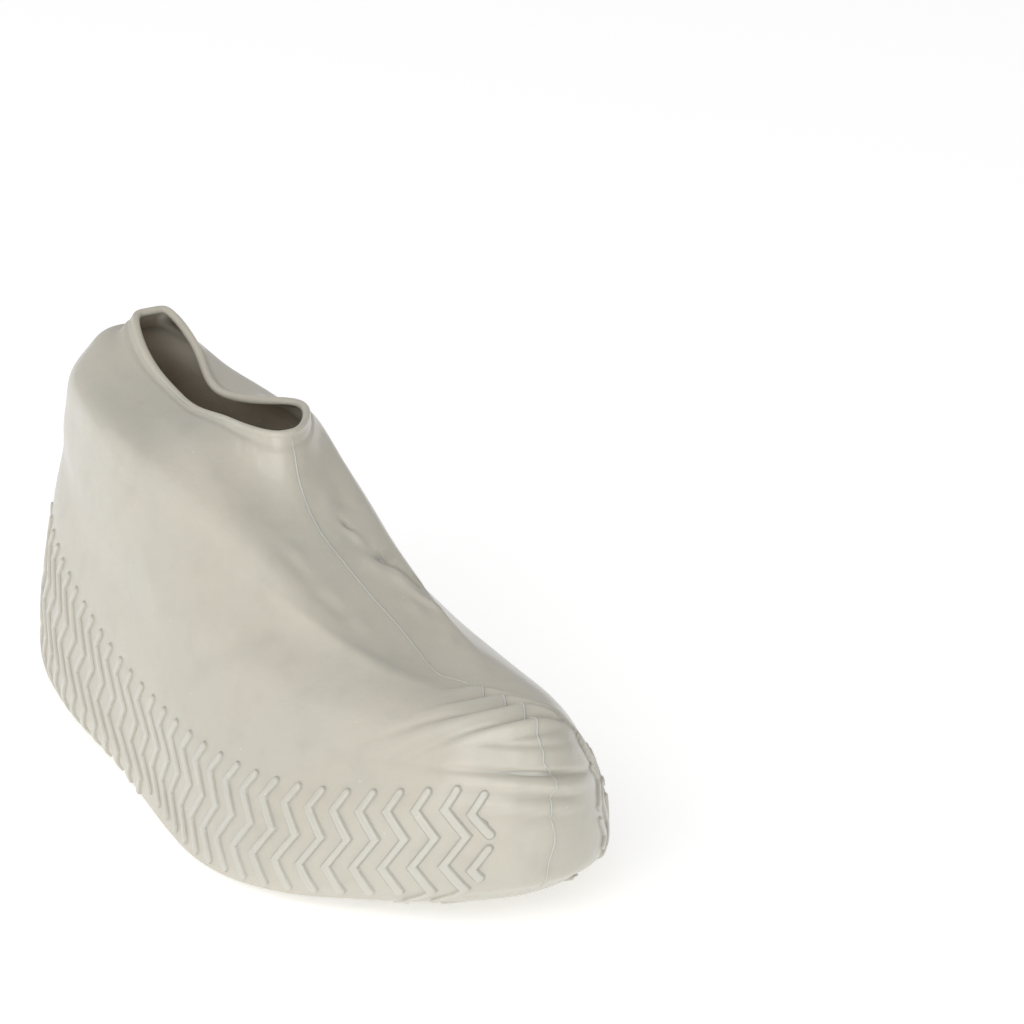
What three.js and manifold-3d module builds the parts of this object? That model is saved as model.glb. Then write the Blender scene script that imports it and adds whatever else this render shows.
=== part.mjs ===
// A pull-on rain overshoe, moulded in one piece from soft silicone.
//
// The cover is a thin hollow shell: a sole, a wall that is ribbed low down, an upper that
// closes over the instep and the heel, and a narrow mouth with a rounded rim. Its heel
// points along -X, its toe along +X, and the tread rests on Z = 0.
//
// The shell is a loft through closed loops, from the edge of the sole up to the rim. A
// place on it is a loop number, which may lie between two loops, and a turn about the
// foot: 0 at the heel, 0.5 at the toe, from heel to toe along the right side.

import * as THREE from 'three';
import { mergeVertices } from 'three/addons/utils/BufferGeometryUtils.js';
import Module from 'manifold-3d';

// Overall sizes, in millimetres.
const LENGTH = 277; // heel to toe, over the skin
const WIDTH = 120; // across the ball of the foot, over the skin
const HEIGHT = 122; // floor to the top of the rim's raised back

// The moulding.
const WALL = 1.4;
const SOLE = 2.2;
const RIM_BEAD = 2.6; // diameter of the rounded rim
const EDGE_BAND = 0.16; // share of the sole's half width that rolls up to its edge
const TOE_SPRING = 10; // how far the sole rises under the toe
const SPRING_START = 0.6; // where along the length the sole starts to rise
const BEND = 7; // sideways sweep of the toe
const BEND_START = 0.46; // where along the length the sweep is nothing
const FULLNESS = 1.05; // how much fuller the left side is than the right
const FOLD_HEIGHT = 1.6;

// The zigzag ribs up the side.
const RIB_PITCH = 9;
const RIB_WIDTH = 2.2;
const RIB_RELIEF = 0.9;
const RIB_SWING = 6.4; // sideways reach of one leg
const RIB_DROP = 8.6; // height of one leg
const HOOK = 0.62; // length of the short top leg, as a share of a full one
const TOE_BARE_RIGHT = 18; // from the middle of the toe to the first rib on the right
const TOE_BARE_LEFT = 24;
const HEEL_BARE = 12; // from the last rib to the middle of the heel

// The tread under the sole.
const TREAD_PITCH = 11;
const TREAD_WIDTH = 3.6;
const TREAD_RELIEF = 1.2;
const TREAD_SWING = 5.5;
const TREAD_LEG = 13;
const TREAD_MARGIN = 9; // from a lug's end to the edge of the sole

const SINK = 0.7 * WALL; // how far ribs and lugs reach into the skin that they grow from

// The loops, from the sole's edge to the rim. Along X in shares of LENGTH, up in shares of
// HEIGHT, across in shares of half of WIDTH. The two roundings are the powers that shape
// each end: 1 is an ellipse, less is blunter. The leans shift a loop to the left.
const LOOP_COLUMNS = [
  'back', 'front',
  'heelUp', 'waistUp', 'ballUp', 'toeUp',
  'heelOut', 'waistOut', 'ballOut',
  'heelRound', 'toeRound',
  'heelLean', 'waistLean', 'ballLean',
];
const LOOPS = [
  [0.025, 0.965, 0.023, 0.015, 0.030, 0.098, 0.505, 0.722, 0.995, 0.69, 0.96, 0, 0, 0],
  [0.002, 0.990, 0.083, 0.065, 0.075, 0.144, 0.680, 0.725, 1.000, 0.66, 0.95, 0, 0, 0],
  [0.000, 0.998, 0.246, 0.167, 0.170, 0.247, 0.700, 0.727, 0.960, 0.69, 0.98, 0, 0, 0],
  [0.016, 0.995, 0.495, 0.317, 0.292, 0.392, 0.660, 0.738, 0.865, 0.73, 1.03, 0, 0, 0],
  [0.020, 0.963, 0.600, 0.475, 0.448, 0.505, 0.600, 0.660, 0.641, 0.76, 1.00, 0, 0, 0],
  [0.025, 0.873, 0.686, 0.622, 0.550, 0.519, 0.565, 0.585, 0.447, 0.79, 0.98, 0, 0, 0],
  [0.030, 0.760, 0.769, 0.742, 0.640, 0.530, 0.517, 0.543, 0.451, 0.85, 1.00, 0, 0, 0],
  [0.044, 0.640, 0.854, 0.841, 0.757, 0.633, 0.465, 0.475, 0.448, 0.86, 1.05, 0, 0, 0],
  [0.069, 0.535, 0.930, 0.878, 0.858, 0.761, 0.365, 0.300, 0.394, 0.72, 1.06, 0.077, 0.042, 0.048],
  [0.108, 0.487, 1.000, 0.892, 0.914, 0.921, 0.164, 0.110, 0.240, 0.38, 0.80, 0.158, 0.055, 0.130],
];
const RIB_TOPS = 3; // the loop that the ribs start from

// Where along a loop its heights, widths and leans hold: 0 at its back, 1 at its front.
const UP_STATIONS = [0, 0.45, 0.78, 1];
const OUT_STATIONS = [0, 0.18, 0.45, 0.74, 1];
const BACK_WIDTH = 0.98; // at the very back, as a share of the heel's
const TOE_WIDTH = 0.92; // at the very front, as a share of the ball's
const TOE_LEAN = 0.3; // the same for the lean
const HEEL_HOLD = 0.6; // how much of the lean next to the heel is the heel's own
const MIDDLE_END = 0.6; // from the sole's front to its middle line, as a share of the ball's half width

// Folds over the break of the toe and down its face, and the soft dents. Each is a ridge,
// or a dent where its height is negative, in shares of FOLD_HEIGHT, at a loop number and a
// turn, with its reach both ways.
const FOLD_COLUMNS = ['loop', 'turn', 'loopReach', 'turnReach', 'height'];
const FOLDS = [
  [5.20, 0.50, 0.11, 0.055, -0.5],
  [4.98, 0.50, 0.12, 0.060, 0.8],
  [4.62, 0.50, 0.12, 0.070, 0.9],
  [4.28, 0.50, 0.12, 0.075, 0.9],
  [3.95, 0.50, 0.14, 0.090, 0.7],
  [3.55, 0.49, 0.10, 0.060, -0.5],
  [3.10, 0.49, 0.10, 0.070, -0.9],
  [2.75, 0.49, 0.10, 0.050, -0.4],
  [7.00, 0.54, 0.25, 0.020, -0.8],
  [6.40, 0.53, 0.20, 0.030, 0.8],
  [4.60, 0.10, 0.60, 0.050, -1.0],
  [5.60, 0.30, 0.70, 0.050, -1.1],
  [5.60, 0.74, 0.70, 0.050, -1.0],
];

// The facets: points around a loop, and the loop numbers that the skin passes through.
const AROUND = 44;
const OUTER_LOOPS = [
  0, 0.6, 1.7, 3.1, 3.55, 3.95, 4.12, 4.28, 4.45, 4.62, 4.8, 4.98, 5.2, 5.7, 6.4, 7.2,
  8, 8.6,
];
const INNER_LOOPS = [8.6, 7.6, 6.2, 4.8, 3.2, 1.5, 0.45];
const SOLE_RINGS = [0, 1 - EDGE_BAND, 1 - EDGE_BAND / 2];
const BEAD_TURNS = [-40, 25, 90, 155, 220]; // degrees about the rim's middle line

// A smooth curve through rows of values, read at any place between them.
function curve(stations, rows) {
  const samples = rows.map((row) => [].concat(row)).flat();
  const spline = new THREE.CubicInterpolant(stations, samples, samples.length / rows.length);
  return (place) => spline.evaluate(place);
}

const readLoop = curve(LOOPS.map((row, number) => number), LOOPS);

// The named columns of a loop, as the sizes they stand for.
function loopSizes(loop) {
  const row = [...readLoop(loop)];
  const size = {};
  LOOP_COLUMNS.forEach((name, column) => {
    let unit = WIDTH / 2;
    if (name.endsWith('Up')) unit = HEIGHT;
    if (name.endsWith('Round')) unit = 1;
    if (column < 2) unit = LENGTH;
    size[name] = row[column] * unit;
  });
  size.up = curve(UP_STATIONS, [size.heelUp, size.waistUp, size.ballUp, size.toeUp]);
  size.out = curve(OUT_STATIONS, [
    BACK_WIDTH * size.heelOut, size.heelOut, size.waistOut, size.ballOut, TOE_WIDTH * size.ballOut,
  ]);
  size.lean = curve(OUT_STATIONS, [
    size.heelLean, HEEL_HOLD * size.heelLean + (1 - HEEL_HOLD) * size.waistLean, size.waistLean,
    size.ballLean, TOE_LEAN * size.ballLean,
  ]);
  return size;
}

const loopCache = new Map();
function loopAt(loop) {
  const key = loop.toFixed(4);
  if (!loopCache.has(key)) loopCache.set(key, loopSizes(loop));
  return loopCache.get(key);
}

// How far the middle line is swept sideways at a place along the foot.
function sweep(x) {
  return BEND * ((x / LENGTH - BEND_START) / (1 - BEND_START)) ** 2;
}

// A point of the smooth loft, before folds.
function loftPoint(loop, turn) {
  const size = loopAt(loop);
  const angle = 2 * Math.PI * turn;
  const along = (1 - Math.cos(angle)) / 2;
  const round = size.heelRound + (size.toeRound - size.heelRound) * along;
  const side = Math.sin(angle) > 0 ? -1 : FULLNESS;
  const x = size.back + (size.front - size.back) * along;
  const out = size.out(along)[0] * Math.abs(Math.sin(angle)) ** round * side;
  return new THREE.Vector3(x, sweep(x) + size.lean(along)[0] + out, size.up(along)[0]);
}

// The outward direction of the loft.
const TURN_STEP = 0.004;
const LOOP_STEP = 0.04;
function outward(loop, turn) {
  const low = Math.max(loop - LOOP_STEP, 0);
  const high = Math.min(loop + LOOP_STEP, LOOPS.length - 1);
  const around = loftPoint(loop, turn + TURN_STEP).sub(loftPoint(loop, turn - TURN_STEP));
  const up = loftPoint(high, turn).sub(loftPoint(low, turn));
  return around.cross(up).normalize();
}

// The height of the folds at a place on the skin.
function foldHeight(loop, turn) {
  let height = 0;
  for (const row of FOLDS) {
    const fold = Object.fromEntries(FOLD_COLUMNS.map((name, column) => [name, row[column]]));
    const up = (loop - fold.loop) / fold.loopReach;
    const around = (turn - fold.turn) / fold.turnReach;
    height += fold.height * Math.exp(-up * up - around * around);
  }
  return FOLD_HEIGHT * height;
}

// A point of the skin, moved out by a height above it, or in by a negative one.
function skinPoint(loop, turn, height = 0) {
  const rise = foldHeight(loop, turn) + height;
  return loftPoint(loop, turn).addScaledVector(outward(loop, turn), rise);
}

// The underside of the sole at a place along the foot.
function soleHeight(x) {
  const start = SPRING_START * LENGTH;
  const rise = Math.max(x - start, 0) / (LENGTH - start);
  return TREAD_RELIEF + TOE_SPRING * rise * rise;
}

// A ring of the sole: 1 is the edge loop it hangs from, 0 the middle line of the foot.
// The ring lies flat at a floor height and rolls up to the edge loop over its last band.
function soleRing(edgePoint, turn, ring, lift) {
  const size = loopAt(0);
  const along = (1 - Math.cos(2 * Math.PI * turn)) / 2;
  const from = size.back + size.heelOut;
  const to = size.front - MIDDLE_END * size.ballOut;
  const x = from + (to - from) * along;
  const point = new THREE.Vector3(x, sweep(x), 0).lerp(edgePoint, ring);
  const flat = soleHeight(point.x) + lift;
  const roll = Math.max(ring - 1 + EDGE_BAND, 0) / EDGE_BAND;
  point.z = flat + (edgePoint.z - soleHeight(edgePoint.x) - lift) * roll ** 2;
  return point;
}

// A point of the outer surface: loop numbers below 0 run on under the sole, down to -1 at
// the middle line of the foot.
function outerPoint(loop, turn, height = 0) {
  if (loop >= 0) return skinPoint(loop, turn, height);
  const point = soleRing(skinPoint(0, turn), turn, 1 + loop, 0);
  const blend = Math.min(-loop / EDGE_BAND, 1);
  const out = outward(0, turn).multiplyScalar(1 - blend);
  return point.addScaledVector(out.add(new THREE.Vector3(0, 0, -blend)).normalize(), height);
}

// The rim's bead, round about the middle of the wall's top edge.
function beadPoint(degrees, turn) {
  const top = LOOPS.length - 1;
  const middle = skinPoint(top, turn, -WALL / 2);
  const out = outward(top, turn);
  const up = loftPoint(top, turn).sub(loftPoint(top - LOOP_STEP, turn)).normalize();
  const angle = THREE.MathUtils.degToRad(degrees);
  return middle
    .addScaledVector(out, Math.cos(angle) * RIM_BEAD / 2)
    .addScaledVector(up, Math.sin(angle) * RIM_BEAD / 2);
}

// A closed geometry from rings of points, each joined to the next.
function ringGeometry(rings) {
  const count = rings[0].length;
  const index = [];
  for (let row = 0; row < rings.length - 1; row += 1) {
    for (let i = 0; i < count; i += 1) {
      const j = (i + 1) % count;
      const [a, b, c, d] = [row * count + i, row * count + j, (row + 1) * count + j, (row + 1) * count + i];
      index.push(a, b, c, a, c, d);
    }
  }
  const geometry = new THREE.BufferGeometry().setFromPoints(rings.flat());
  geometry.setIndex(index);
  return geometry;
}

// The hollow shell: under the sole, up the outside, over the rim, down the inside and
// across the floor.
function shellGeometry() {
  const turns = Array.from({ length: AROUND }, (unused, i) => i / AROUND);
  const insideEdge = INNER_LOOPS[INNER_LOOPS.length - 1];
  const rings = [
    ...SOLE_RINGS.map((ring) => turns.map((turn) => soleRing(skinPoint(0, turn), turn, ring, 0))),
    ...OUTER_LOOPS.map((loop) => turns.map((turn) => skinPoint(loop, turn))),
    ...BEAD_TURNS.map((degrees) => turns.map((turn) => beadPoint(degrees, turn))),
    ...INNER_LOOPS.map((loop) => turns.map((turn) => skinPoint(loop, turn, -WALL))),
    ...[...SOLE_RINGS].reverse().map((ring) => turns.map(
      (turn) => soleRing(skinPoint(insideEdge, turn, -WALL), turn, ring, SOLE),
    )),
  ];
  return ringGeometry(rings);
}

// The outline of a zigzag band of a given width about a polyline, with mitred corners.
function bandShape(points, width) {
  const left = [];
  const right = [];
  points.forEach((point, i) => {
    const before = i > 0 ? point.clone().sub(points[i - 1]).normalize() : null;
    const after = i < points.length - 1 ? points[i + 1].clone().sub(point).normalize() : null;
    const along = before && after ? before.clone().add(after).normalize() : (before ?? after);
    const across = new THREE.Vector2(-along.y, along.x);
    const leg = before ?? after;
    const reach = width / 2 / across.dot(new THREE.Vector2(-leg.y, leg.x));
    left.push(point.clone().addScaledVector(across, reach));
    right.unshift(point.clone().addScaledVector(across, -reach));
  });
  return new THREE.Shape([...left, ...right]);
}

// A zigzag band as a solid, laid on a surface by moving each of its points.
function bandGeometry(points, width, relief, place) {
  const geometry = new THREE.ExtrudeGeometry(bandShape(points, width), {
    depth: relief + SINK, bevelEnabled: false, steps: 1,
  });
  const position = geometry.getAttribute('position');
  for (let i = 0; i < position.count; i += 1) {
    const laid = place(position.getX(i), position.getY(i), position.getZ(i) - SINK);
    position.setXYZ(i, laid.x, laid.y, laid.z);
  }
  return geometry;
}

// The turn at a distance along the rib tops, from the middle of the toe to one side.
const TURN_SAMPLES = 240;
function turnTable(side) {
  const table = [{ turn: 0.5, distance: 0 }];
  for (let i = 1; i <= TURN_SAMPLES; i += 1) {
    const turn = 0.5 + side * 0.5 * i / TURN_SAMPLES;
    const last = table[i - 1];
    const step = loftPoint(RIB_TOPS, turn).distanceTo(loftPoint(RIB_TOPS, last.turn));
    table.push({ turn, distance: last.distance + step });
  }
  return table;
}

function turnAt(table, distance) {
  const i = Math.max(table.findIndex((entry) => entry.distance > distance), 1);
  const [a, b] = [table[i - 1], table[i]];
  const share = (distance - a.distance) / (b.distance - a.distance);
  return a.turn + (b.turn - a.turn) * share;
}

// The loop number at a distance down the skin from the rib tops, at one turn.
const LOOP_SAMPLES = 16;
const SOLE_SAMPLES = 53; // finer, because a loop number below 0 is a share of the sole's width
function loopBelow(turn, drop) {
  let loop = RIB_TOPS;
  let left = drop;
  let here = loftPoint(loop, turn);
  while (loop > -EDGE_BAND) {
    const next = loop - 1 / (loop > 0 ? LOOP_SAMPLES : SOLE_SAMPLES);
    const point = outerPoint(next, turn);
    const step = point.distanceTo(here);
    if (step > left) return loop + (next - loop) * left / step;
    left -= step;
    loop = next;
    here = point;
  }
  return loop;
}

// The distance down the skin from the rib tops to the sole's edge, at one turn.
function wallDrop(turn) {
  let drop = 0;
  for (let i = 0; i < RIB_TOPS * LOOP_SAMPLES; i += 1) {
    const loop = RIB_TOPS - i / LOOP_SAMPLES;
    drop += loftPoint(loop, turn).distanceTo(loftPoint(loop - 1 / LOOP_SAMPLES, turn));
  }
  return drop;
}

// The corners of one rib, as distances from the toe and down from the rib tops. Each rib
// starts with a short hook towards the heel and turns back and forth down to the sole.
function ribCorners(start, length) {
  const corners = [new THREE.Vector2(start, 0)];
  let [across, down] = [HOOK * RIB_SWING, HOOK * RIB_DROP];
  let direction = 1;
  while (down < length) {
    corners.push(new THREE.Vector2(start + across, down));
    direction = -direction;
    across += direction * RIB_SWING;
    down += RIB_DROP;
  }
  return corners;
}

// The ribs of one side, with the one next to the toe in two short pieces.
function ribGeometries(side, bare) {
  const table = turnTable(side);
  const last = table[TURN_SAMPLES].distance - HEEL_BARE;
  const place = (distance, drop, height) => {
    const turn = turnAt(table, distance);
    return outerPoint(loopBelow(turn, drop), turn, height);
  };
  const bands = [];
  for (let start = bare; start < last; start += RIB_PITCH) {
    const corners = ribCorners(start, wallDrop(turnAt(table, start)) + RIB_WIDTH);
    if (start === bare) bands.push(corners.slice(0, 3), corners.slice(3));
    else bands.push(corners);
  }
  return bands
    .filter((corners) => corners.length > 1)
    .map((corners) => bandGeometry(corners, RIB_WIDTH, RIB_RELIEF, place));
}

// How far the flat of the sole reaches to each side at a place along the foot.
function soleReach(x, side) {
  const size = loopAt(0);
  const along = THREE.MathUtils.clamp((x - size.back) / (size.front - size.back), 0, 1);
  const turn = Math.acos(1 - 2 * along) / (2 * Math.PI);
  return Math.abs(loftPoint(0, side < 0 ? turn : 1 - turn).y - sweep(x)) - TREAD_MARGIN;
}

// The lugs across the sole, each a zigzag band from side to side.
function lugGeometries() {
  const size = loopAt(0);
  const lugs = [];
  const from = size.back + TREAD_MARGIN + TREAD_PITCH / 2;
  const to = size.front - TREAD_MARGIN - TREAD_PITCH / 2;
  for (let x = from; x < to; x += TREAD_PITCH) {
    const right = soleReach(x, -1);
    const left = soleReach(x, 1);
    const legs = Math.max(2, Math.round((left + right) / TREAD_LEG));
    const corners = Array.from({ length: legs + 1 }, (unused, i) => new THREE.Vector2(
      x + (i % 2 - 0.5) * TREAD_SWING,
      sweep(x) - right + (left + right) * i / legs,
    ));
    // Under the sole the band is laid face down: its height runs to -Z.
    lugs.push(bandGeometry(corners, TREAD_WIDTH, TREAD_RELIEF, (along, across, height) => (
      new THREE.Vector3(along, across, soleHeight(along) - height)
    )));
  }
  return lugs;
}

const wasm = await Module();
wasm.setup();

// A geometry as a solid. A mesh whose faces point inwards is turned the right way out.
function solid(geometry) {
  const bare = geometry.clone();
  bare.deleteAttribute('normal');
  bare.deleteAttribute('uv');
  const merged = mergeVertices(bare, 1e-4);
  const position = merged.getAttribute('position');
  const triangles = [...merged.index.array];
  const [a, b, c] = [new THREE.Vector3(), new THREE.Vector3(), new THREE.Vector3()];
  const kept = [];
  let volume = 0;
  for (let i = 0; i < triangles.length; i += 3) {
    const corners = triangles.slice(i, i + 3);
    if (new Set(corners).size < 3) continue;
    kept.push(corners);
    a.fromBufferAttribute(position, corners[0]);
    b.fromBufferAttribute(position, corners[1]);
    c.fromBufferAttribute(position, corners[2]);
    volume += a.dot(b.cross(c)) / 6;
  }
  const ordered = volume > 0 ? kept : kept.map(([p, q, r]) => [p, r, q]);
  return new wasm.Manifold(new wasm.Mesh({
    numProp: 3,
    vertProperties: new Float32Array(position.array),
    triVerts: new Uint32Array(ordered.flat()),
  }));
}

// A solid as a geometry, with the part's origin under the middle of its box.
function centred(body) {
  const mesh = body.getMesh();
  const geometry = new THREE.BufferGeometry();
  geometry.setAttribute('position', new THREE.BufferAttribute(mesh.vertProperties, 3));
  geometry.setIndex(new THREE.BufferAttribute(mesh.triVerts, 1));
  geometry.computeBoundingBox();
  const { min, max } = geometry.boundingBox;
  geometry.translate(-(min.x + max.x) / 2, -(min.y + max.y) / 2, -min.z);
  geometry.computeVertexNormals();
  return geometry;
}

const pieces = [
  ...ribGeometries(-1, TOE_BARE_RIGHT), ...ribGeometries(1, TOE_BARE_LEFT), ...lugGeometries(),
];
const body = pieces.reduce((whole, piece) => whole.add(solid(piece)), solid(shellGeometry()));

const silicone = new THREE.MeshStandardMaterial({ color: 0xc9c4b6, roughness: 0.5, metalness: 0 });
const overshoe = new THREE.Mesh(centred(body), silicone);
overshoe.name = 'overshoe';

const group = new THREE.Group();
group.add(overshoe);

export default group;
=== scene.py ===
import math

import bmesh
import bpy
import numpy as np
from mathutils import Matrix, Vector, noise


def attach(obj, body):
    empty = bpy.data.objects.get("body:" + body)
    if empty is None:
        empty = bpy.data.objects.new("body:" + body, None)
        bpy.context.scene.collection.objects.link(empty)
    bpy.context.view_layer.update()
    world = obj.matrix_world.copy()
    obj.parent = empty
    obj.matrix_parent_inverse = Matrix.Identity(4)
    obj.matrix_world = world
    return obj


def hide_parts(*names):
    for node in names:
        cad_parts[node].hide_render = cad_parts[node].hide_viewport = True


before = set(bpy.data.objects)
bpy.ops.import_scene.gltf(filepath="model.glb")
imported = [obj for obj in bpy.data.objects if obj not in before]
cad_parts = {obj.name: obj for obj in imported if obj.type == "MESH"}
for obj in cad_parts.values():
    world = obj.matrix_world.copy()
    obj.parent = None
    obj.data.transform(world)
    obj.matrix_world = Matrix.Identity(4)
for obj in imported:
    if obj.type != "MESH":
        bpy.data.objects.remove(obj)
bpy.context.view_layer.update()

# The shell. The whole overshoe is one hollow moulding of soft silicone, cast in a mould that
# parts along its middle: a sole, a thin wall that closes over the instep and the heel, and a
# narrow mouth with a rounded bead. Everything else on it grows out of this skin.

MM = 0.001
LENGTH = 277  # heel to toe over the skin, in millimetres as all sizes below
WIDTH = 120  # across the ball of the foot
HEIGHT = 122  # floor to the top of the mouth's raised back
WALL = 1.4
SOLE = 2.2
RIM_BEAD = 2.6  # diameter of the bead
EDGE_BAND = 0.16  # share of the sole's half width that rolls up to its edge
TOE_SPRING = 10
SPRING_START = 0.6  # where along the length the sole starts to rise
TREAD_RELIEF = 1.2
BEND = 7  # sideways sweep of the toe
BEND_START = 0.46  # where along the length the sweep is nothing
FULLNESS = 1.05  # how much fuller the left side is than the right
FOLD_HEIGHT = 1.6
UNEVEN_HEIGHT = 0.3  # slow unevenness of the soft wall
UNEVEN_SPAN = 24

# The loops of the loft, from the sole's edge up to the mouth: along in shares of LENGTH, up
# in shares of HEIGHT, across in shares of half of WIDTH, and the power that rounds each end.
LOOP_COLUMNS = (
    "back", "front",
    "heel_up", "waist_up", "ball_up", "toe_up",
    "heel_out", "waist_out", "ball_out",
    "heel_round", "toe_round",
    "heel_lean", "waist_lean", "ball_lean",
)
LOOP_UNITS = np.array([LENGTH] * 2 + [HEIGHT] * 4 + [WIDTH / 2] * 3 + [1] * 2 + [WIDTH / 2] * 3)
LOOPS = np.array([
    [0.025, 0.965, 0.023, 0.015, 0.030, 0.098, 0.505, 0.722, 0.995, 0.69, 0.96, 0, 0, 0],
    [0.002, 0.990, 0.083, 0.065, 0.075, 0.144, 0.680, 0.725, 1.000, 0.66, 0.95, 0, 0, 0],
    [0.000, 0.998, 0.246, 0.167, 0.170, 0.247, 0.700, 0.727, 0.960, 0.69, 0.98, 0, 0, 0],
    [0.016, 0.995, 0.495, 0.317, 0.292, 0.392, 0.660, 0.738, 0.865, 0.73, 1.03, 0, 0, 0],
    [0.020, 0.963, 0.600, 0.475, 0.448, 0.505, 0.600, 0.660, 0.641, 0.76, 1.00, 0, 0, 0],
    [0.025, 0.873, 0.686, 0.622, 0.550, 0.519, 0.565, 0.585, 0.447, 0.79, 0.98, 0, 0, 0],
    [0.030, 0.760, 0.769, 0.742, 0.640, 0.530, 0.517, 0.543, 0.451, 0.85, 1.00, 0, 0, 0],
    [0.044, 0.640, 0.854, 0.841, 0.757, 0.633, 0.465, 0.475, 0.448, 0.86, 1.05, 0, 0, 0],
    [0.069, 0.535, 0.930, 0.878, 0.858, 0.761, 0.365, 0.300, 0.394, 0.72, 1.06, 0.077, 0.042, 0.048],
    [0.108, 0.487, 1.000, 0.892, 0.914, 0.921, 0.164, 0.110, 0.240, 0.38, 0.80, 0.158, 0.055, 0.130],
])
TOP = len(LOOPS) - 1.0
UP_STATIONS = np.array([0, 0.45, 0.78, 1])
OUT_STATIONS = np.array([0, 0.18, 0.45, 0.74, 1])
BACK_WIDTH = 0.98  # at the very back, as a share of the heel's
TOE_WIDTH = 0.92  # at the very front, as a share of the ball's
TOE_LEAN = 0.3  # the same for the lean
HEEL_HOLD = 0.6  # how much of the lean next to the heel is the heel's own
MIDDLE_END = 0.6  # from the sole's front to its middle line, as a share of the ball's half width
TURN_STEP = 0.004
LOOP_STEP = 0.04

# Folds and dents of the skin: loop, turn, reach in loops, reach in turns, slant in loops for each
# turn, how fast each end droops on the right and on the left, and height as a share of FOLD_HEIGHT.
# The heights also colour the wall: painted shade in the hollows, painted highlight on the ridges.
FOLDS = [
    # ridges over the break of the toe, each with the crease behind it
    [5.30, 0.500, 0.05, 0.040, 0, 70, 300, -0.4],
    [5.12, 0.500, 0.11, 0.050, 0, 70, 300, 0.7],
    [4.92, 0.500, 0.05, 0.060, 0, 70, 300, -0.9],
    [4.77, 0.500, 0.11, 0.075, 0, 60, 300, 1.0],
    [4.56, 0.505, 0.05, 0.090, 0, 50, 380, -1.1],
    [4.40, 0.500, 0.11, 0.085, 0, 55, 250, 1.1],
    [4.18, 0.495, 0.05, 0.060, 0, 70, 140, -1.1],
    [4.02, 0.495, 0.11, 0.060, 0, 50, 110, 0.9],
    [3.80, 0.500, 0.06, 0.045, 0, 20, 40, -0.3],
    # bands down the toe's face
    [3.60, 0.490, 0.06, 0.040, -2.6, 0, 0, -0.4],
    [3.10, 0.495, 0.06, 0.060, -3.2, 0, 0, -1.2],
    [2.92, 0.490, 0.08, 0.050, -3.2, 0, 0, 0.5],
    [2.73, 0.490, 0.06, 0.045, -3.2, 0, 0, -0.7],
    [2.56, 0.485, 0.07, 0.040, -3.2, 0, 0, 0.3],
    [2.41, 0.485, 0.06, 0.040, -3.2, 0, 0, -0.5],
    # crumples of the instep, left of the seam
    [7.95, 0.552, 0.20, 0.026, 0, 0, 0, 0.5],
    [7.62, 0.590, 0.10, 0.016, -8, 0, 0, -0.35],
    [7.50, 0.568, 0.05, 0.009, -10, 0, 0, -0.7],
    [7.36, 0.566, 0.09, 0.012, -10, 0, 0, 0.6],
    [7.05, 0.560, 0.14, 0.016, -8, 0, 0, 0.4],
    [6.78, 0.597, 0.06, 0.022, -10, 0, 0, -1.1],
    [6.56, 0.590, 0.12, 0.020, -10, 0, 0, 0.9],
    [6.30, 0.575, 0.12, 0.016, -8, 0, 0, 0.4],
    [6.18, 0.622, 0.08, 0.024, -22, 0, 0, -0.9],
    [5.96, 0.612, 0.12, 0.020, -22, 0, 0, 0.7],
    [5.75, 0.575, 0.10, 0.015, -8, 0, 0, 0.35],
    # and right of it
    [7.20, 0.425, 0.14, 0.016, 6, 0, 0, 0.3],
    [6.95, 0.410, 0.20, 0.020, 0, 0, 0, -0.25],
    [6.80, 0.440, 0.14, 0.018, 6, 0, 0, 0.3],
    [6.55, 0.425, 0.20, 0.020, 0, 0, 0, -0.25],
    [6.45, 0.452, 0.14, 0.018, 6, 0, 0, 0.3],
    # a soft fold across the right side, and broad dents of the sides and the heel
    [4.60, 0.304, 0.14, 0.022, 23, 0, 0, -0.4],
    [4.95, 0.302, 0.25, 0.022, 23, 0, 0, 0.25],
    [4.60, 0.235, 0.50, 0.012, -29, 0, 0, 0.35],
    [4.60, 0.100, 0.60, 0.050, 0, 0, 0, -0.8],
    [5.60, 0.300, 0.70, 0.050, 0, 0, 0, -0.3],
    [5.60, 0.740, 0.70, 0.050, 0, 0, 0, -1.0],
    # the raised back of the mouth, and the groove under the bead
    [8.55, 0.000, 0.20, 0.080, 0, 0, 0, -1.4],
    [8.00, 0.000, 0.30, 0.090, 0, 0, 0, 0.6],
    [8.82, 0.000, 0.04, 9.000, 0, 0, 0, -0.3],
    [8.62, 0.383, 0.14, 0.006, 0, 0, 0, 0.3],
    [8.62, 0.417, 0.14, 0.006, 0, 0, 0, 0.3],
]


def shares(stations, places):
    """How much the value at each station counts at each place, on a smooth curve through them."""
    unit = np.eye(len(stations))
    steps = np.diff(stations)
    slopes = np.diff(unit, axis=0) / steps[:, None]
    tangents = np.concatenate([slopes[:1], (slopes[1:] + slopes[:-1]) / 2, slopes[-1:]])
    i = np.clip(np.searchsorted(stations, places, side="right") - 1, 0, len(steps) - 1)
    step = steps[i][:, None]
    t = (places - stations[i])[:, None] / step
    bends = (t**3 - 2 * t**2 + t) * tangents[i] + (t**3 - t**2) * tangents[i + 1]
    return (2 * t**3 - 3 * t**2 + 1) * unit[i] + (3 * t**2 - 2 * t**3) * unit[i + 1] + bends * step


def through(stations, places, *values):
    """A smooth curve through one array of values for each station."""
    return (shares(stations, places) * np.stack(values, axis=1)).sum(axis=1)


def sweep(x):
    return BEND * ((x / LENGTH - BEND_START) / (1 - BEND_START)) ** 2


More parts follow.
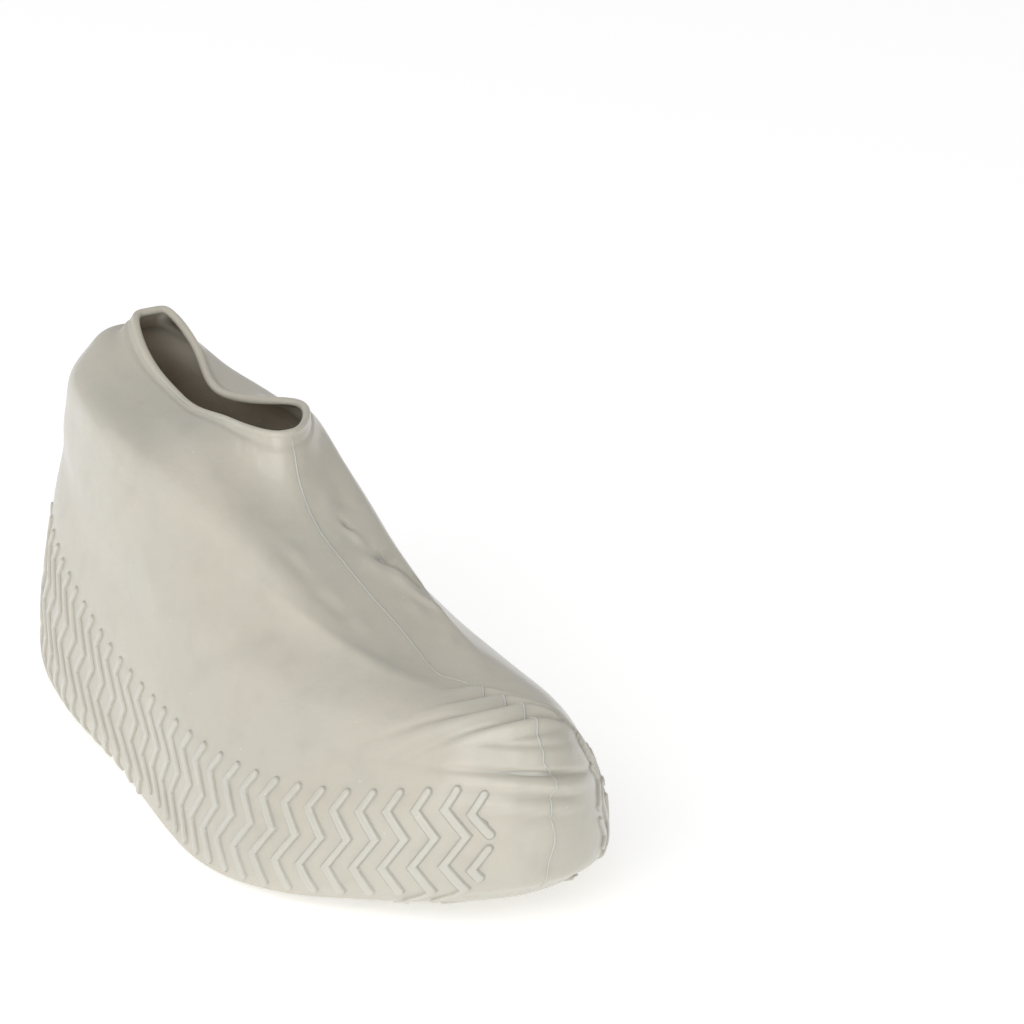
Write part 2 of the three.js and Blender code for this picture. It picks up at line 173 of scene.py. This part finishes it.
def loft(loop, turn):
    """Points of the skin without its folds. Turn 0 is the heel, 0.5 the toe, the right side first."""
    size = dict(zip(LOOP_COLUMNS, (shares(np.arange(len(LOOPS)), loop) @ (LOOPS * LOOP_UNITS)).T))
    angle = 2 * np.pi * turn
    along = (1 - np.cos(angle)) / 2
    heel, waist, ball = size["heel_out"], size["waist_out"], size["ball_out"]
    reach = through(OUT_STATIONS, along, BACK_WIDTH * heel, heel, waist, ball, TOE_WIDTH * ball)
    heel, waist, ball = size["heel_lean"], size["waist_lean"], size["ball_lean"]
    beside = HEEL_HOLD * heel + (1 - HEEL_HOLD) * waist
    lean = through(OUT_STATIONS, along, heel, beside, waist, ball, TOE_LEAN * ball)
    up = through(UP_STATIONS, along, size["heel_up"], size["waist_up"], size["ball_up"], size["toe_up"])
    power = size["heel_round"] + (size["toe_round"] - size["heel_round"]) * along
    side = np.where(np.sin(angle) > 0, -1, FULLNESS)
    x = size["back"] + (size["front"] - size["back"]) * along
    y = sweep(x) + lean + side * reach * np.abs(np.sin(angle)) ** power
    return np.stack([x, y, up], axis=-1)


def unit_length(vectors):
    return vectors / np.linalg.norm(vectors, axis=-1, keepdims=True)


def outward(loop, turn):
    around = loft(loop, turn + TURN_STEP) - loft(loop, turn - TURN_STEP)
    up = loft(np.minimum(loop + LOOP_STEP, TOP), turn) - loft(np.maximum(loop - LOOP_STEP, 0), turn)
    return unit_length(np.cross(around, up))


def folds(loop, turn):
    """The height of the folds, as a share of FOLD_HEIGHT."""
    height = np.zeros_like(turn)
    for fold_loop, fold_turn, loop_reach, turn_reach, slant, right, left, share in FOLDS:
        aside = (turn - fold_turn + 0.5) % 1 - 0.5
        above = loop - fold_loop - slant * aside + np.where(aside < 0, right, left) * aside**2
        height += share * np.exp(-(above / loop_reach) ** 2 - (aside / turn_reach) ** 2)
    return height


def skin(loop, turn, height=0.0):
    """Points of the folded skin, moved out by a height above it, or in by a negative one."""
    points = loft(loop, turn)
    uneven = UNEVEN_HEIGHT * np.array([noise.noise(Vector(point / UNEVEN_SPAN)) for point in points])
    rise = FOLD_HEIGHT * folds(loop, turn) + uneven + height
    return points + outward(loop, turn) * rise[:, None]


def sole_height(x):
    start = SPRING_START * LENGTH
    return TREAD_RELIEF + TOE_SPRING * (np.maximum(x - start, 0) / (LENGTH - start)) ** 2


def sole_ring(edge, turn, ring, lift=0.0):
    """A ring of the sole: 1 is the edge that it hangs from, 0 is the middle line of the foot."""
    size = dict(zip(LOOP_COLUMNS, LOOPS[0] * LOOP_UNITS))
    start = size["back"] + size["heel_out"]
    end = size["front"] - MIDDLE_END * size["ball_out"]
    x = start + (end - start) * (1 - np.cos(2 * np.pi * turn)) / 2
    middle = np.stack([x, sweep(x), np.zeros_like(x)], axis=-1)
    points = middle + (edge - middle) * np.asarray(ring)[..., None]
    roll = np.maximum(ring - 1 + EDGE_BAND, 0) / EDGE_BAND
    flat = sole_height(points[:, 0]) + lift
    points[:, 2] = flat + (edge[:, 2] - sole_height(edge[:, 0]) - lift) * roll**2
    return points


def bead(degrees, turn):
    """The bead about the middle of the wall's top edge."""
    top = np.full_like(turn, TOP)
    up = unit_length(loft(top, turn) - loft(top - LOOP_STEP, turn))
    angle = math.radians(degrees)
    reach = outward(top, turn) * math.cos(angle) + up * math.sin(angle)
    return skin(top, turn, -WALL / 2) + reach * RIM_BEAD / 2


# The frame's origin lies under the middle of the moulding.
every_loop, every_turn = np.meshgrid(np.linspace(0, 4, 41), np.linspace(0, 1, 181))
lofted = loft(every_loop.ravel(), every_turn.ravel())
MIDDLE = (lofted.min(axis=0) + lofted.max(axis=0)) / 2 * (1, 1, 0)


def lay_grid(bm, points, painted_lights):
    """A grid of faces with each vertex moved to its own point, given in rows, and its own tone: painted
    shade below zero, painted highlight above zero.
    """
    painted_light = bm.verts.layers.float.get("painted_light") or bm.verts.layers.float.new("painted_light")
    rows, columns = points.shape[0] - 1, points.shape[1] - 1
    made = bmesh.ops.create_grid(bm, x_segments=columns, y_segments=rows, size=0.5)
    placed = (points - MIDDLE) * MM
    for vert in made["verts"]:
        row, column = round((vert.co.y + 0.5) * rows), round((vert.co.x + 0.5) * columns)
        vert.co = placed[row, column]
        vert[painted_light] = painted_lights[row, column]


def moulded_piece(name, bm, material):
    """A finished piece of the moulding, closed and with its faces pointing out."""
    bmesh.ops.remove_doubles(bm, verts=bm.verts, dist=1e-6)
    bmesh.ops.recalc_face_normals(bm, faces=bm.faces)
    mesh = bpy.data.meshes.new(name)
    bm.to_mesh(mesh)
    bm.free()
    mesh.shade_smooth()
    mesh.materials.append(material)
    piece = bpy.data.objects.new(name, mesh)
    bpy.context.collection.objects.link(piece)
    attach(piece, "root")
    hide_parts("overshoe")


class Wire:
    """A number on its way through a finish. Python's operators add its Math nodes."""

    def __init__(self, finish, socket):
        self.finish = finish
        self.socket = socket

    def reckon(self, operation, first, second, clamp=False):
        settings = {"operation": operation, "use_clamp": clamp}
        return self.finish.node("ShaderNodeMath", settings, {0: first, 1: second})

    def __add__(self, other):
        return self.reckon("ADD", self, other)

    def __mul__(self, other):
        return self.reckon("MULTIPLY", self, other)

    __radd__ = __add__
    __rmul__ = __mul__

    def held(self, factor):
        """This number times a factor, held between 0 and 1."""
        return self.reckon("MULTIPLY", self, factor, clamp=True)


class Finish:
    """A material, with the one method that adds its nodes."""

    def __init__(self, name):
        self.material = bpy.data.materials.new(name)
        self.material.use_nodes = True
        self.tree = self.material.node_tree
        self.tree.nodes.clear()

    def node(self, kind, settings, inputs, output=0):
        node = self.tree.nodes.new(kind)
        for key, value in settings.items():
            setattr(node, key, value)
        for key, value in inputs.items():
            if isinstance(value, Wire):
                self.tree.links.new(value.socket, node.inputs[key])
            else:
                node.inputs[key].default_value = value
        return Wire(self, node.outputs[output]) if len(node.outputs) else None

    def clouds(self, place, scale, detail):
        return self.node("ShaderNodeTexNoise", {}, {"Vector": place, "Scale": scale, "Detail": detail})

    def band(self, wire, low, high):
        """A number that rises softly from 0 to 1 between two values of another."""
        settings = {"interpolation_type": "SMOOTHSTEP"}
        return self.node("ShaderNodeMapRange", settings, {0: wire, 1: low, 2: high})

    def mix(self, factor, first, second):
        return self.node("ShaderNodeMix", {"data_type": "RGBA"}, {0: factor, 6: first, 7: second}, 2)


DUST = (0.78, 0.77, 0.72, 1)


def silicone(name, warm, cool, mottle_and_painted_shade, painted_highlight):
    """Satin, slightly see-through silicone with cloudy colour, dust in it and an uneven skin, with painted
    shade and painted highlight set by each vertex's tone.
    """
    finish = Finish(name)
    place = finish.node("ShaderNodeTexCoord", {}, {}, "Object")
    painted_light = finish.node("ShaderNodeAttribute", {"attribute_name": "painted_light"}, {}, "Fac")
    clouds = finish.band(finish.clouds(place, 26, 3), 0.40, 0.62)
    mottle = finish.band(finish.clouds(place, 105, 3), 0.45, 0.75)
    grain = finish.clouds(place, 800, 2)
    cells = finish.node("ShaderNodeTexVoronoi", {}, {"Vector": place, "Scale": 210.0})
    chance = finish.band(finish.clouds(place, 70, 1), 0.5, 0.62)
    specks = finish.band(cells, 0.10, 0.05) * chance
    colour = finish.mix(clouds, warm, cool)
    colour = finish.mix(mottle * 0.3, colour, mottle_and_painted_shade)
    # Painted shade and painted highlight: where the tone is below zero (creases, dents, feet of raised
    # bands) the colour darkens towards the deep colour; where it is above zero (ridges, crowns) it
    # lightens towards the crest colour.
    colour = finish.mix(painted_light.held(-0.5), colour, mottle_and_painted_shade)
    colour = finish.mix(painted_light.held(0.5), colour, painted_highlight)
    colour = finish.mix(specks * 0.35, colour, DUST)
    bumps = finish.clouds(place, 150, 2) + grain * 0.16 + specks * 0.25
    normal = finish.node("ShaderNodeBump", {}, {"Strength": 0.5, "Distance": 0.0005, "Height": bumps})
    surface = finish.node("ShaderNodeBsdfPrincipled", {}, {
        "Base Color": colour,
        "Roughness": 0.28 + 0.14 * finish.clouds(place, 60, 2) + 0.1 * grain + 0.15 * specks,
        "Normal": normal,
        "IOR": 1.41,
        "Subsurface Weight": 0.3,
        "Subsurface Radius": (1.0, 0.8, 0.55),
        "Subsurface Scale": 0.003,
        "Sheen Weight": 0.04,
        "Sheen Roughness": 0.4,
        "Coat Weight": 0.4,
        "Coat Roughness": 0.13,
    })
    finish.node("ShaderNodeOutputMaterial", {}, {"Surface": surface})
    return finish.material


# The deep colour is both random mottling and painted shade in the creases and dents; the crest colour is a
# painted highlight on the ridges.
WALL_WARM = (0.524, 0.493, 0.416, 1)
WALL_COOL = (0.514, 0.492, 0.422, 1)
WALL_MOTTLE_AND_PAINTED_SHADE = (0.440, 0.412, 0.345, 1)
WALL_PAINTED_HIGHLIGHT = (0.560, 0.540, 0.475, 1)
wall_silicone = silicone("wall_silicone", WALL_WARM, WALL_COOL, WALL_MOTTLE_AND_PAINTED_SHADE, WALL_PAINTED_HIGHLIGHT)

AROUND = 384
SOLE_RINGS = np.concatenate([
    np.linspace(0, 1 - EDGE_BAND, 6), 1 - EDGE_BAND * np.array([0.8, 0.6, 0.4, 0.2]),
])
WALL_TOP = 8.92  # the loop where the wall runs into its bead
WALL_LOOPS = np.concatenate([  # closest over the folds of the toe
    np.arange(0, 2.6, 0.1), np.arange(2.6, 5.4, 0.035), np.arange(5.4, WALL_TOP - 0.03, 0.055), [WALL_TOP],
])
INSIDE_LOOPS = np.concatenate([np.linspace(WALL_TOP, 3, 16, endpoint=False), np.linspace(3, 0.45, 20)])
BEAD_TURNS = np.linspace(-54, 234, 14)

turns = np.linspace(0, 1, AROUND + 1)


def at(loop):
    return np.full_like(turns, loop)


sole_edge = skin(at(0), turns)
floor_edge = skin(at(INSIDE_LOOPS[-1]), turns, -WALL)
rings = [sole_ring(sole_edge, turns, ring) for ring in SOLE_RINGS]
rings += [skin(at(loop), turns) for loop in WALL_LOOPS]
rings += [bead(degrees, turns) for degrees in BEAD_TURNS]
rings += [skin(at(loop), turns, -WALL) for loop in INSIDE_LOOPS]
rings += [sole_ring(floor_edge, turns, ring, SOLE) for ring in SOLE_RINGS[::-1]]
# Each wall vertex's tone is its fold height: painted shade in creases, dents and the groove under the
# bead, painted highlight on ridges. Sole, bead and inside get 0.
plain = [np.zeros_like(turns)]
painted_lights = plain * len(SOLE_RINGS) + [folds(at(loop), turns) for loop in WALL_LOOPS]
painted_lights += plain * (len(rings) - len(painted_lights))
shell = bmesh.new()
lay_grid(shell, np.stack(rings), np.stack(painted_lights))
moulded_piece("overshoe_shell", shell, wall_silicone)

# The side ribs. Rows of raised zigzags are cast with the wall low on both sides, for grip and
# stiffness. Each starts with a short hook at its top, has a flat crown with rounded edges and
# a small fillet at its foot, and runs down to the sole. The toe and the heel are bare.

RIB_TOPS = 3  # the loop that the ribs start from
RIB_PITCH = 9
RIB_WIDTH = 2.2
RIB_RELIEF = 0.9
RIB_SWING = 6.4  # sideways reach of one leg
RIB_DROP = 8.6  # height of one leg
RIB_LEAN = 0.15  # towards the toe, for each millimetre down
HOOK = 0.62  # length of the short top leg, as a share of a full one
TOE_BARE = {"right": 19, "left": 24}  # from the middle of the toe to the first rib
HEEL_BARE = 12
UPPER_CUT = 0.8  # where the rib next to the toe ends on its second leg, and where it goes on
LOWER_CUTS = (0.3, 0.35)  # and ends on the two legs after that, as shares of each
FIRST_SHIFT = (1.0, 2.0)  # that rib stands a little back from the toe and lower
SINK = 0.5 * WALL  # how far a rib reaches into the skin
BED_STEPS = 240  # of the side laid out flat
BED_DROPS = (-6, 90)  # from above the rib tops to below the sole's edge
WALL_SAMPLE = 1 / 16  # in loops, down the wall
SOLE_SAMPLE = 0.02  # and on under the sole
LEG_STEPS = 8
END_STEPS = 4

# Across a band: the place as a share of half its width, the height as a share of its relief.
BAND_SECTION = [
    (-1.60, -0.10), (-1.22, 0.05), (-1.05, 0.28), (-0.98, 0.68), (-0.80, 0.93), (-0.45, 1.0),
    (0.45, 1.0), (0.80, 0.93), (0.98, 0.68), (1.05, 0.28), (1.22, 0.05), (1.60, -0.10),
    (1.30, -SINK / RIB_RELIEF), (-1.30, -SINK / RIB_RELIEF),
]


def lay_zigzag(bm, corners, width, relief, place):
    """A raised band along a zigzag, mitred at its corners and rounded at both of its ends."""
    corners = np.array(corners, float)
    ahead = unit_length(np.diff(corners, axis=0))
    across = np.stack([-ahead[:, 1], ahead[:, 0]], axis=1)
    facing = (across[1:] * across[:-1]).sum(axis=1, keepdims=True)
    mitres = np.concatenate([across[:1], (across[1:] + across[:-1]) / (1 + facing), across[-1:]])
    offsets, heights = np.array(BAND_SECTION + BAND_SECTION[:1]).T
    offsets = offsets[:, None] * width / 2

    def round_end(corner, way, side, angle):
        return corner + np.abs(offsets) * way * math.cos(angle) + offsets * side * math.sin(angle)

    angles = np.linspace(0, math.pi / 2, END_STEPS, endpoint=False)
    rows = [round_end(corners[0], -ahead[0], across[0], angle) for angle in angles]
    for i in range(len(ahead)):
        start = corners[i] + offsets * mitres[i]
        end = corners[i + 1] + offsets * mitres[i + 1]
        rows += [start + (end - start) * step / LEG_STEPS for step in range(LEG_STEPS)]
    rows.append(corners[-1] + offsets * mitres[-1])
    rows += [round_end(corners[-1], ahead[-1], across[-1], angle) for angle in angles[::-1]]
    flat = np.stack(rows)
    height = np.broadcast_to(heights, flat.shape[:2])
    points = place(flat[..., 0].ravel(), flat[..., 1].ravel(), height.ravel() * relief)
    # Each vertex's tone follows its height across the band: painted shade along the foot, painted
    # highlight on the crown.
    lay_grid(bm, points.reshape(*height.shape, 3), 2 * height - 1)


def outside(loop, turn, height=0.0):
    """Points of the outer surface. Loop numbers below 0 run on under the sole."""
    under = np.minimum(loop, 0)
    edge = np.zeros_like(turn)
    tilt = np.minimum(-under / EDGE_BAND, 1)[:, None]
    way = unit_length(outward(edge, turn) * (1 - tilt) + np.array([0, 0, -1]) * tilt)
    below = sole_ring(skin(edge, turn), turn, 1 + under) + way * np.asarray(height)[..., None]
    return np.where((loop >= 0)[:, None], skin(np.maximum(loop, 0), turn, height), below)


def side_bed(side):
    """The skin of one side laid out flat: its place function, its length, and its depth."""
    turn = 0.5 + side * 0.5 * np.linspace(0, 1, BED_STEPS + 1)
    tops = loft(np.full_like(turn, RIB_TOPS), turn)
    walked = np.concatenate([[0], np.cumsum(np.linalg.norm(np.diff(tops, axis=0), axis=1))])
    down_wall = np.arange(RIB_TOPS + 0.5, 0, -WALL_SAMPLE)
    loops = np.concatenate([down_wall, np.arange(0, -EDGE_BAND, -SOLE_SAMPLE)])
    grid_turn, grid_loop = np.meshgrid(turn, loops, indexing="ij")
    points = outside(grid_loop.ravel(), grid_turn.ravel()).reshape(*grid_turn.shape, 3)
    steps = np.linalg.norm(np.diff(points, axis=1), axis=2)
    fallen = np.concatenate([np.zeros((len(turn), 1)), np.cumsum(steps, axis=1)], axis=1)
    fallen -= fallen[:, loops == RIB_TOPS]
    drops = np.linspace(*BED_DROPS, BED_STEPS + 1)
    loop_at = np.array([np.interp(drops, row, loops) for row in fallen])
    wall_depth = fallen[:, loops == 0].ravel()

    def place(distance, drop, height):
        row = np.interp(distance, walked, np.arange(len(walked)))
        column = np.interp(drop, drops, np.arange(len(drops)))
        i = np.minimum(row.astype(int), len(walked) - 2)
        j = np.minimum(column.astype(int), len(drops) - 2)
        s, t = row - i, column - j
        low = loop_at[i, j] * (1 - t) + loop_at[i, j + 1] * t
        high = loop_at[i + 1, j] * (1 - t) + loop_at[i + 1, j + 1] * t
        return outside(low * (1 - s) + high * s, np.interp(distance, walked, turn), height)

    return place, walked[-1], lambda distance: np.interp(distance, walked, wall_depth)


def rib_corners(start, length):
    """The corners of one rib, as distances from the toe and down from the rib tops."""
    corners = [(start, 0)]
    across, down = HOOK * RIB_SWING, HOOK * RIB_DROP
    way = 1
    while down < length:
        corners.append((start + across - RIB_LEAN * down, down))
        way = -way
        across += way * RIB_SWING
        down += RIB_DROP
    return corners


def cut_rib(corners):
    """The two short stretches that are left of the rib next to the toe."""
    corners = np.array(corners) + FIRST_SHIFT

    def part(leg, share):
        return corners[leg] + (corners[leg + 1] - corners[leg]) * share

    upper = [corners[0], corners[1], part(1, UPPER_CUT)]
    return [upper, [part(2, LOWER_CUTS[0]), corners[3], part(3, LOWER_CUTS[1])]]


# The deep colour is both random mottling and painted shade at the feet of ribs and lugs; the crest colour
# is a painted highlight on their crowns and along the seam.
RIB_WARM = (0.515, 0.494, 0.430, 1)
RIB_COOL = (0.512, 0.500, 0.442, 1)
RIB_MOTTLE_AND_PAINTED_SHADE = (0.410, 0.370, 0.305, 1)
RIB_PAINTED_HIGHLIGHT = (0.545, 0.536, 0.480, 1)
rib_silicone = silicone("rib_silicone", RIB_WARM, RIB_COOL, RIB_MOTTLE_AND_PAINTED_SHADE, RIB_PAINTED_HIGHLIGHT)

for side_name, side in (("right", -1), ("left", 1)):
    place, length, depth_at = side_bed(side)
    ribs = bmesh.new()
    bare = TOE_BARE[side_name]
    for start in np.arange(bare, length - HEEL_BARE, RIB_PITCH):
        corners = rib_corners(start, depth_at(start) + RIB_WIDTH)
        for stretch in cut_rib(corners) if start == bare else [corners]:
            lay_zigzag(ribs, stretch, RIB_WIDTH, RIB_RELIEF, place)
    moulded_piece(f"{side_name}_side_ribs", ribs, rib_silicone)

# The tread. Low zigzag lugs are cast across the underside of the sole, from a margin inside
# its edge on one side to the same on the other, and they are what the overshoe stands on.

TREAD_PITCH = 11
TREAD_WIDTH = 3.6
TREAD_SWING = 5.5
TREAD_LEG = 13
TREAD_MARGIN = 9


def under_sole(along, across, height):
    return np.stack([along, across, sole_height(along) - height], axis=-1)


def sole_reach(x, side):
    """How far the flat of the sole reaches to one side at a place along the foot."""
    back, front = LOOPS[0, :2] * LENGTH
    turn = np.arccos(1 - 2 * np.clip((x - back) / (front - back), 0, 1)) / (2 * np.pi)
    edge = loft(np.zeros(1), np.array([turn if side < 0 else 1 - turn]))
    return abs(edge[0, 1] - sweep(x)) - TREAD_MARGIN


lugs = bmesh.new()
first_lug = LOOPS[0, 0] * LENGTH + TREAD_MARGIN + TREAD_PITCH / 2
last_lug = LOOPS[0, 1] * LENGTH - TREAD_MARGIN - TREAD_PITCH / 2
for x in np.arange(first_lug, last_lug, TREAD_PITCH):
    right, left = sole_reach(x, -1), sole_reach(x, 1)
    legs = max(2, round((right + left) / TREAD_LEG))
    corners = [
        (x + (i % 2 - 0.5) * TREAD_SWING, sweep(x) - right + (right + left) * i / legs)
        for i in range(legs + 1)
    ]
    lay_zigzag(lugs, corners, TREAD_WIDTH, TREAD_RELIEF, under_sole)
moulded_piece("sole_tread", lugs, rib_silicone)

# The mould seam. Where the two halves of the mould met, a hair of silicone stands up along
# the middle from the mouth down over the toe to the sole. It wanders with the folds.

SEAM_WIDTH = 0.8
SEAM_RELIEF = 0.35
SEAM_STEPS = 700
SEAM_TAPER = 6  # steps over which each end dies away
SEAM = np.array([  # loop, turn
    [8.98, 0.506], [8.50, 0.502], [8.10, 0.502], [7.70, 0.500], [7.30, 0.508], [6.85, 0.513],
    [6.45, 0.518], [6.10, 0.510], [5.85, 0.500], [5.62, 0.494], [5.48, 0.503], [5.30, 0.511],
    [5.12, 0.514], [4.93, 0.498], [4.76, 0.512], [4.56, 0.500], [4.40, 0.510], [4.18, 0.499],
    [4.02, 0.503], [3.78, 0.496], [3.48, 0.495], [3.28, 0.493], [3.08, 0.502], [2.88, 0.501],
    [2.66, 0.496], [2.40, 0.496], [1.96, 0.500], [1.44, 0.496], [0.30, 0.499],
])
SEAM_SECTION = [(-1.0, -0.5), (-0.7, 0.3), (-0.3, 0.9), (0.3, 0.9), (0.7, 0.3), (1.0, -0.5)]

seam_loop, seam_turn = (
    shares(np.arange(len(SEAM)), np.linspace(0, len(SEAM) - 1, SEAM_STEPS)) @ SEAM
).T
seam_points = skin(seam_loop, seam_turn)
seam_out = outward(seam_loop, seam_turn)
seam_aside = unit_length(np.cross(seam_out, np.gradient(seam_points, axis=0)))
taper = np.minimum(1, np.minimum(np.arange(SEAM_STEPS), np.arange(SEAM_STEPS)[::-1]) / SEAM_TAPER)[:, None]
seam_columns = [
    seam_points + taper * (seam_aside * offset * SEAM_WIDTH / 2 + seam_out * height * SEAM_RELIEF)
    for offset, height in SEAM_SECTION + SEAM_SECTION[:1]
]
seam = bmesh.new()
# The whole seam has tone 0.6: a painted highlight along its ridge.
lay_grid(seam, np.stack(seam_columns, axis=1), np.ones((SEAM_STEPS, len(seam_columns))) * 0.6)
moulded_piece("mould_seam", seam, rib_silicone)

# The studio: a plain white table under a bright even sky, one large soft light on the left of
# the camera, a weak one on its right that puts a sheen on the toe, and one behind the heel.

TABLE_SIZE = 8.0
WHITE = (0.93, 0.93, 0.93, 1)
OFF_WHITE = (0.90, 0.90, 0.90, 1)
SKY_STRENGTH = 0.54
TABLE_GLOW = 0.41  # the table is lit from below, so that no shadow is dark

table_finish = Finish("white_table")
cloth = table_finish.clouds(table_finish.node("ShaderNodeTexCoord", {}, {}, "Object"), 3, 1)
table_surface = table_finish.node("ShaderNodeBsdfPrincipled", {}, {
    "Base Color": table_finish.mix(cloth * 0.1, WHITE, OFF_WHITE),
    "Roughness": 0.8,
    "Emission Color": (1, 1, 1, 1),
    "Emission Strength": TABLE_GLOW,
})
table_finish.node("ShaderNodeOutputMaterial", {}, {"Surface": table_surface})
table_form = bmesh.new()
bmesh.ops.create_grid(table_form, x_segments=1, y_segments=1, size=TABLE_SIZE / 2)
table_mesh = bpy.data.meshes.new("table")
table_form.to_mesh(table_mesh)
table_form.free()
table_mesh.materials.append(table_finish.material)
table = bpy.data.objects.new("table", table_mesh)
bpy.context.collection.objects.link(table)

sky = bpy.data.worlds.new("sky")
sky.use_nodes = True
sky.node_tree.nodes["Background"].inputs["Color"].default_value = (1, 1, 1, 1)
sky.node_tree.nodes["Background"].inputs["Strength"].default_value = SKY_STRENGTH
bpy.context.scene.world = sky
bpy.context.scene.view_settings.view_transform = "Standard"

# The camera looks at the overshoe's front right from a little above, as the photograph does,
# with the same framing: the overshoe stands low on the left of the picture.

AZIMUTH = math.radians(58.65)
ELEVATION = math.radians(18.82)
ROLL = math.radians(-0.34)
DISTANCE = 1639.2
LENS = 223.0
SENSOR = 36.0
AIM = (368.3, -62.6, 166.7)  # from the back of the heel, as the loops are

back = Vector((
    math.sin(AZIMUTH) * math.cos(ELEVATION), -math.cos(AZIMUTH) * math.cos(ELEVATION), math.sin(ELEVATION),
))
level = Vector((0, 0, 1)).cross(back).normalized()
upright = back.cross(level)
right = level * math.cos(ROLL) + upright * math.sin(ROLL)
above = upright * math.cos(ROLL) - level * math.sin(ROLL)
aim = (Vector(AIM) - Vector(MIDDLE)) * MM
lens = bpy.data.cameras.new("camera")
lens.lens = LENS
lens.sensor_width = SENSOR
camera = bpy.data.objects.new("camera", lens)
bpy.context.collection.objects.link(camera)
stand = Matrix.Translation(aim + back * DISTANCE * MM)
camera.matrix_world = stand @ Matrix((right, above, back)).transposed().to_4x4()
bpy.context.scene.camera = camera


def soft_light(name, toward, distance, size, power):
    """A square light that shines on the overshoe from a direction. Sizes are in metres."""
    lamp = bpy.data.lights.new(name, "AREA")
    lamp.shape = "SQUARE"
    lamp.size = size
    lamp.energy = power
    light = bpy.data.objects.new(name, lamp)
    bpy.context.collection.objects.link(light)
    way = toward.normalized()
    facing = way.to_track_quat("Z", "Y").to_matrix().to_4x4()
    light.matrix_world = Matrix.Translation(way * distance) @ facing


soft_light("key", Vector((0.52, -0.74, 0.44)), 1.6, 1.3, 12.5)
soft_light("sheen", Vector((0.98, -0.14, 0.36)), 1.6, 0.5, 1.4)
soft_light("fill", Vector((-0.7, -0.6, 0.35)), 1.8, 1.2, 2.5)
